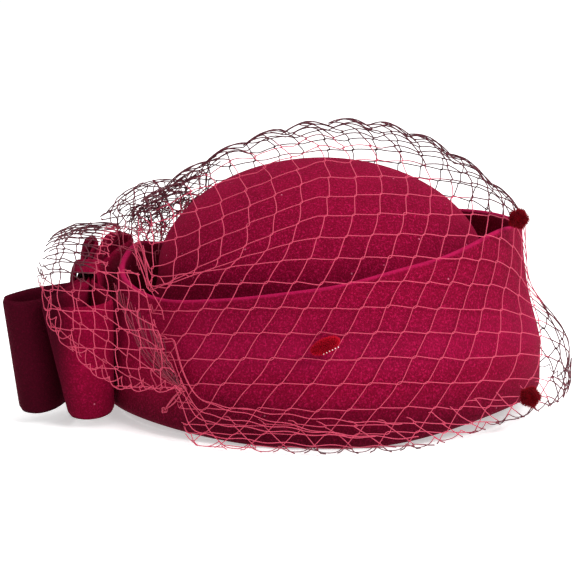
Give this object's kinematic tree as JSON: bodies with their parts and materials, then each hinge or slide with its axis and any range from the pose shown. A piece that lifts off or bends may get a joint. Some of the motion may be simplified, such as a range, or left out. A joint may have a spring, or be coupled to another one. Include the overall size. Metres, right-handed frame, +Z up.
{
  "type": "pillbox hat with net veil and felt bow",
  "caption": "Oval wool-felt pillbox hat with a turned-up cuff, domed crown, looped felt bow at the back, net veil and chenille dots.",
  "frame": {"origin": "centre of the footprint, on the surface that the hat rests on", "axes": "+X points to the front of the hat, away from the bow; +Z up; -Y is the side that carries the long chenille tuft"},
  "size_m": [0.2642, 0.2096, 0.1356],
  "materials": {
    "body_felt": "matt wool felt with a short nap",
    "bow_felt": "matt wool felt with a short nap",
    "net": "fine twisted thread, slightly glossy",
    "chenille": "dense velvety pile"
  },
  "bodies": {
    "root": {"crown": "body_felt", "cuff": "body_felt", "bow_ribbon_outer": "bow_felt", "bow_ribbon_inner": "bow_felt", "bow_knot": "bow_felt", "veil_cage": "net", "veil_flounce": "net", "dot_front": "chenille", "dot_top": "chenille", "dot_low": "chenille"}
  },
  "joints": []
}
